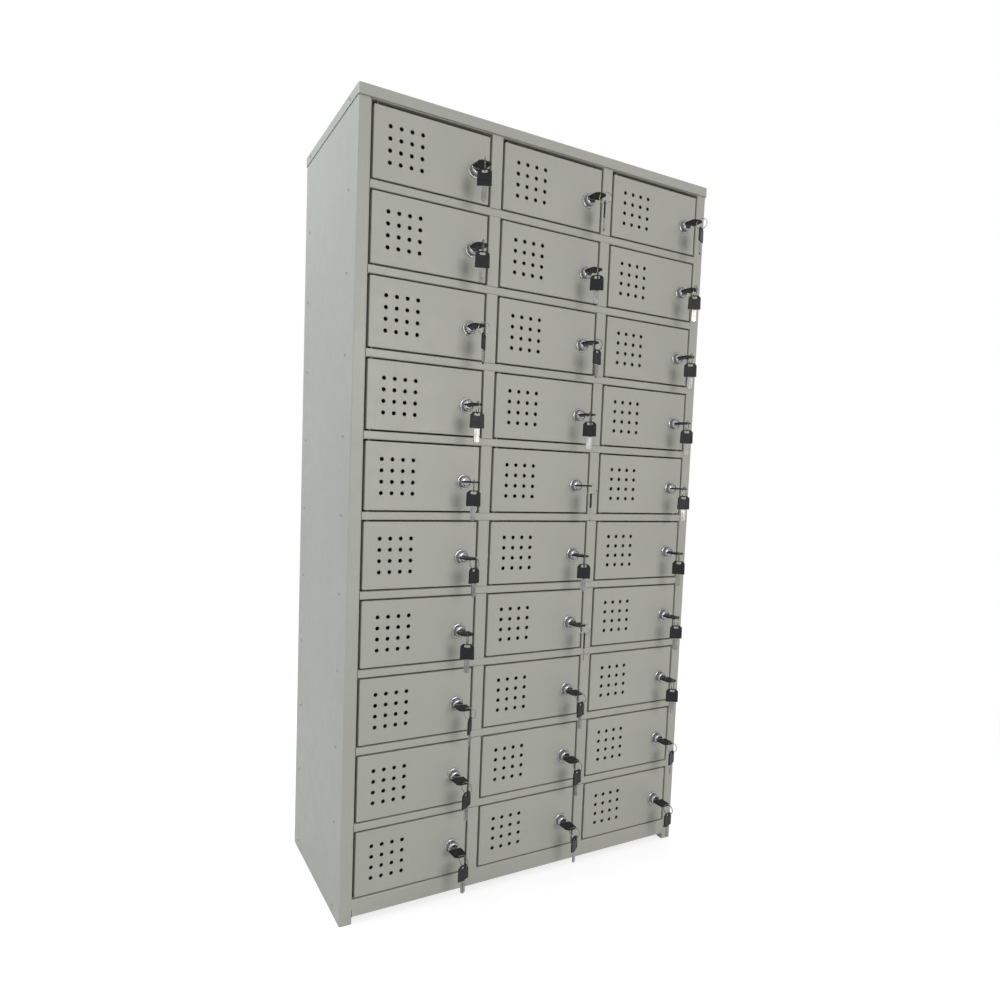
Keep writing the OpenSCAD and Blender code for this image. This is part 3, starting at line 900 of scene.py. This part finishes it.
def key(shape, place):
    """Flat key in the XY plane: moulded bow from y = 0 upwards, cut blade below it."""
    side, shoulder, corner_x = BOW_W / 2, BOW_L - BOW_BEVEL, BOW_W / 2 - BOW_BEVEL
    corners = [(-side, 0), (side, 0), (side, shoulder)]
    corners += [(corner_x, BOW_L), (-corner_x, BOW_L), (-side, shoulder)]
    bow = rounded_corners(corners, 2 * [2.2] + 4 * [2.5])
    slot_r = SLOT_L / 2
    slot_y = BOW_L - BOW_BRIDGE - slot_r
    slot_x = SLOT_W / 2 - slot_r
    steps = 12
    slot = arc(slot_r, [pi * k / steps - pi / 2 for k in range(steps + 1)], slot_x, slot_y)
    slot += [(-x, 2 * slot_y - y) for x, y in slot]
    grip_w, grip_h, grip_low, grip_deep = 15.5, 6.2, 2.4, 0.25
    grip = shifted(rounded_box(grip_w, grip_h, 2.2), -grip_w / 2, grip_low)
    plate(shape, bow, -BOW_T / 2, BOW_T / 2, 0.55, BOW_PAINT, place, [slot], [(grip, grip_deep)])

    half, tip, cut, cuts = BLADE_W / 2, BLADE_W / 3, BLADE_W / 6 / sqrt(2), 4
    blade = [(-half, tip - BLADE_L), (0, -BLADE_L), (half, tip - BLADE_L)]
    for k in range(cuts, 0, -1):
        y = -NECK - k * (BLADE_L - NECK - tip) / (cuts + 1)
        deeper = cut * (0.75 + 0.25 * (k % 2))
        blade += [(half, y - cut), (half - deeper, y - 0.25), (half - deeper, y + 0.25), (half, y + cut)]
    blade += [(half, -FILM), (-half, -FILM)]
    groove_w, groove_x, groove_deep = 1.5, -1.9, 0.4
    groove = rounded_box(groove_w, BLADE_L - tip - 1, 0.7)
    groove = shifted(groove, groove_x - groove_w / 2, tip - BLADE_L)
    plate(shape, blade, -BLADE_T / 2, BLADE_T / 2, 0.15, BLADE_PAINT, place, [], [(groove, groove_deep)])


def key_ring(shape, place):
    """Split ring about the X axis: two turns of flat wire side by side, crossing once."""
    steps, sides = 112, 8
    thick = RING_WIRE / 2
    rings = []
    for k in range(steps + 1):
        turn = 4 * pi * k / steps
        share = min(max((k / steps - 0.45) / 0.1, 0), 1)
        x = thick / 2 * (2 * share * share * (3 - 2 * share) - 1)
        ring = []
        for s in range(sides):
            a = 2 * pi * (s + 0.5) / sides
            radius = RING_MID + 0.84 * thick * cos(a)
            ring.append((x + thick * 0.48 * sin(a), radius * cos(turn), radius * sin(turn)))
        rings.append(ring)
    shape.loft(rings, BLADE_PAINT, place)
    for ring in (rings[0], rings[-1]):
        shape.add(ring, [tuple(range(sides))], BLADE_PAINT, place)


def lock_data(row, column):
    """Plug, cam, screw, key, ring and spare key, about the lock's axis at the door's face."""
    shape = Shape()
    plug(shape)
    cam(shape)
    cam_screw(shape)
    key(shape, Matrix.Translation((0, -HEAD_OUT - NECK, 0)) @ Matrix.Rotation(pi, 4, "Z"))
    turn = radians(SPARE_TURN[row][column])
    swing = Matrix.Translation((0, -RING_AXIS, 0)) @ Matrix.Rotation(turn, 4, "Z")
    hang = swing @ Matrix.Translation((0, -RING_RUN, 0))
    key_ring(shape, hang @ Matrix.Translation((0, 0, -RING_DROP)))
    key(shape, hang @ Matrix.Translation((0, 0, SPARE_TOP - BOW_L)) @ Matrix.Rotation(pi / 2, 4, "X"))
    return shape.object(f"lock_set_{row + 1}_{column + 1}", [CHROME, BRIGHT, PLASTIC, NICKEL])


def cabinet():
    for name, shape, node in (
        ("left_side", side_panel(-1), "left_side_panel"),
        ("right_side_and_stops", side_panel(1), "right_side_panel"),
        ("cover", top_cover(), "top_cover"),
        ("header_tray", top_tray(), "top_tray"),
        ("rear_panel", back_panel(), "back_panel"),
        ("floor_tray", base_tray(), "base_tray"),
        ("shelf_trays", shelves(), "shelves"),
        ("divider_walls", partitions(), "partitions"),
    ):
        piece(name, shape.object(name, [COAT]), "cabinet", [node])
    pins = hinge_pins().object("pivot_pins", [SHADED_PIN_STEEL])
    piece("pivot_pins", pins, "cabinet", ["hinge_pins"])
    heads = rivets().object("blind_rivets", [COAT, SHADED_CORE])
    piece("blind_rivets", heads, "cabinet", ["rivets"])


def doors():
    shared = door_data()
    for row in range(ROWS):
        for column in range(COLUMNS):
            cell = f"r{row + 1}_c{column + 1}"
            corner = (door_left(column), 0, door_base(row))
            piece(f"panel_{cell}", shared, f"door_{cell}", [f"door_{cell}"], corner)
            axis = (corner[0] + DOOR_W - LOCK_IN, 0, corner[2] + DOOR_H / 2 - LOCK_DROP)
            holder = f"lock_and_keys_{cell}" if column < TURNING_COLUMNS else f"door_{cell}"
            piece(f"lock_set_{cell}", lock_data(row, column), holder, [holder], axis)


# Studio

WHITE = (1, 1, 1, 1)


def seen_share(tree):
    """1 where the eye, a mirror or glass looks straight at a surface, else 0."""
    path = tree.nodes.new("ShaderNodeLightPath")
    total = path.outputs["Is Camera Ray"]
    for name in ("Is Glossy Ray", "Is Transmission Ray"):
        larger = tree.nodes.new("ShaderNodeMath")
        larger.operation = "MAXIMUM"
        tree.links.new(total, larger.inputs[0])
        tree.links.new(path.outputs[name], larger.inputs[1])
        total = larger.outputs[0]
    return total


def shader(tree, kind, color, strength=None):
    made = tree.nodes.new(kind)
    made.inputs["Color"].default_value = color
    if strength is not None:
        made.inputs["Strength"].default_value = strength
    return made.outputs[0]


def joined(tree, kind, *sockets):
    """Output of a new node whose inputs are these sockets, in their order."""
    made = tree.nodes.new(kind)
    for socket, target in zip(sockets, made.inputs):
        tree.links.new(socket, target)
    return made.outputs[0]


def mapped(tree, value, start, end, low, high):
    """New node that turns the value's range from start to end into low to high."""
    made = tree.nodes.new("ShaderNodeMapRange")
    tree.links.new(value, made.inputs["Value"])
    for name, number in (("From Min", start), ("From Max", end), ("To Min", low), ("To Max", high)):
        made.inputs[name].default_value = number
    return made


def floor():
    """Pale floor that reads white to the eye, and that takes the object's shadow near it."""
    size, near, far = 12, 0.5, 1.7
    bounce, lit_share, glow = 0.5, 0.4, 0.74
    data = bpy.data.meshes.new("floor")
    half = size / 2
    corners = [(-half, -half, 0), (half, -half, 0), (half, half, 0), (-half, half, 0)]
    data.from_pydata(corners, [], [(0, 1, 2, 3)])
    placed("floor", data)
    material = bpy.data.materials.new("pale_floor")
    material.use_nodes = True
    tree = material.node_tree
    tree.nodes.clear()
    matt = shader(tree, "ShaderNodeBsdfDiffuse", (bounce, bounce, bounce, 1))
    shown = shader(tree, "ShaderNodeBsdfDiffuse", (lit_share, lit_share, lit_share, 1))
    light = shader(tree, "ShaderNodeEmission", WHITE, glow)
    close = joined(tree, "ShaderNodeAddShader", shown, light)
    length = tree.nodes.new("ShaderNodeVectorMath")
    length.operation = "LENGTH"
    tree.links.new(tree.nodes.new("ShaderNodeTexCoord").outputs["Object"], length.inputs[0])
    away = mapped(tree, length.outputs["Value"], near, far, 0, 1)
    away.interpolation_type = "SMOOTHSTEP"
    white = shader(tree, "ShaderNodeEmission", WHITE, 1)
    bright = joined(tree, "ShaderNodeMixShader", away.outputs[0], close, white)
    mixed = joined(tree, "ShaderNodeMixShader", seen_share(tree), matt, bright)
    output = tree.nodes.new("ShaderNodeOutputMaterial")
    tree.links.new(mixed, output.inputs["Surface"])
    data.materials.append(material)


def backdrop():
    """White to the eye. To the object it is a studio with a bright ceiling and a dark horizon."""
    horizon, ceiling_light = 0.03, 0.86
    world = bpy.data.worlds.new("studio")
    world.use_nodes = True
    bpy.context.scene.world = world
    tree = world.node_tree
    tree.nodes.clear()
    way = tree.nodes.new("ShaderNodeSeparateXYZ")
    tree.links.new(tree.nodes.new("ShaderNodeTexCoord").outputs["Generated"], way.inputs[0])
    height = mapped(tree, way.outputs["Z"], 0, 1, horizon, ceiling_light)
    room = shader(tree, "ShaderNodeBackground", (0.97, 0.985, 1, 1))
    tree.links.new(height.outputs[0], room.node.inputs["Strength"])
    seen = shader(tree, "ShaderNodeBackground", WHITE, 1)
    mixed = joined(tree, "ShaderNodeMixShader", seen_share(tree), room, seen)
    output = tree.nodes.new("ShaderNodeOutputWorld")
    tree.links.new(mixed, output.inputs["Surface"])


def lamp(name, at, target, width, height, watts, color):
    data = bpy.data.lights.new(name, "AREA")
    data.shape = "RECTANGLE"
    data.size, data.size_y = width, height
    data.energy = watts
    data.color = color
    made = placed(name, data)
    made.location = at
    made.rotation_euler = (Vector(target) - Vector(at)).to_track_quat("-Z", "Y").to_euler()


def lamps():
    lamp("left_window", (-1.7, 0.35, 2.1), (0, 0, 0.9), 1.2, 1.0, 28, (0.83, 0.91, 1))
    lamp("front_box", (0.35, -3.0, 1.1), (0, 0, 0.5), 1.3, 1.0, 32, (1, 0.99, 0.96))
    lamp("side_glint", (-1.7, -2.3, 1.0), (0, 0, 0.6), 0.8, 0.8, 6, (0.94, 0.98, 1))
    lamp("back_fill", (1.9, 2.5, 1.0), (0, 0, 0.5), 1.6, 1.2, 40, (1, 1, 1))


def camera():
    """The photograph's own viewpoint. The eye is counted from the middle of the door faces, on the floor."""
    width, focal, middle_x, middle_y = 1000, 700.8, 473.0, 525.8
    eye, turns = (-586.7, -886.3, 619.9), (86.0575, -2.0578, -27.8821)
    data = bpy.data.cameras.new("photo_view")
    data.sensor_width = 36
    data.lens = focal * data.sensor_width / width
    data.shift_x = (width / 2 - middle_x) / width
    data.shift_y = (middle_y - width / 2) / width
    made = placed("photo_view", data)
    made.location = Vector((eye[0], FACE_Y + eye[1], eye[2])) * MM
    made.rotation_euler = [radians(a) for a in turns]
    bpy.context.scene.camera = made


cabinet()
doors()
floor()
backdrop()
lamps()
camera()
bpy.context.scene.view_settings.view_transform = "Standard"
